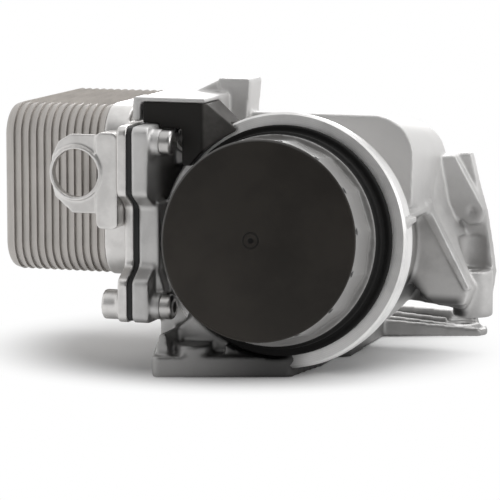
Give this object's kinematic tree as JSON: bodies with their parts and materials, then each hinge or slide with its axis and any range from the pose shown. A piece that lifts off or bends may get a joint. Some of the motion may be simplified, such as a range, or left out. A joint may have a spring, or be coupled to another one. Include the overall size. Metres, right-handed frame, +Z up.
{
  "type": "engine oil cooler",
  "caption": "Engine oil cooler: a stack of dished aluminium plates bolted to a die-cast oil filter housing with a black screw cap and a pleated filter element.",
  "frame": {"origin": "under the middle of the whole part, on the plane of the base face", "axes": "+X to the right, along the longest side, from the cooler stack to the side boss; +Y back from the screw cap; +Z up from the base face"},
  "size_m": [0.1854, 0.1648, 0.1146],
  "materials": {
    "cast_aluminium": "fine cast, matt",
    "plate_aluminium": "brazed, satin",
    "base_aluminium": "satin",
    "black_plastic": "glass-filled moulding",
    "element_plastic": "moulded",
    "seal_rubber": "matt",
    "filter_paper": "resin paper",
    "bright_steel": "zinc plated"
  },
  "bodies": {
    "housing": {"filter_housing": "cast_aluminium", "standpipe": "element_plastic", "bypass_spring": "bright_steel", "spring_seat": "bright_steel", "cooler_end_plate": "plate_aluminium", "cooler_turbulators": "plate_aluminium", "cooler_base_plate": "base_aluminium", "cooler_eye_lug": "base_aluminium", "cooler_gasket": "seal_rubber", "cooler_screws": "bright_steel", "top_bracket": "black_plastic", "gallery_plug": "bright_steel", "base_gasket": "seal_rubber", "cooler_plate_01": "plate_aluminium", "cooler_plate_02": "plate_aluminium", "cooler_plate_03": "plate_aluminium", "cooler_plate_04": "plate_aluminium", "cooler_plate_05": "plate_aluminium", "cooler_plate_06": "plate_aluminium", "cooler_plate_07": "plate_aluminium", "cooler_plate_08": "plate_aluminium", "cooler_plate_09": "plate_aluminium", "cooler_plate_10": "plate_aluminium", "cooler_plate_11": "plate_aluminium", "cooler_plate_12": "plate_aluminium"},
    "element": {"filter_media": "filter_paper", "element_top_cap": "element_plastic", "element_bottom_cap": "element_plastic", "element_core": "element_plastic", "drain_pin_seal": "seal_rubber"},
    "cap": {"filter_cap": "black_plastic", "cap_seal": "seal_rubber"},
    "bypass_valve": {"bypass_poppet": "bright_steel"}
  },
  "joints": [
    {"name": "element_draw", "type": "slide", "parent": "housing", "child": "element", "axis": [0, -0.9925, 0.1219], "range_m": [0, 0.012]},
    {"name": "cap_turn", "type": "hinge", "parent": "element", "child": "cap", "pos_m": [0.0245, -0.07773, 0.05751], "axis": [0, -0.9925, 0.1219], "range_deg": [0, 1081]},
    {"name": "bypass_open", "type": "slide", "parent": "housing", "child": "bypass_valve", "axis": [0, 0.9925, -0.1219], "range_m": [0, 0.004], "stiffness_N_per_m": 2000, "springref_m": -0.004, "deforming": ["bypass_spring"]}
  ],
  "couplings": [
    {"joint": "cap_turn", "follows": "element_draw", "rad_per_m": 1570.8}
  ]
}
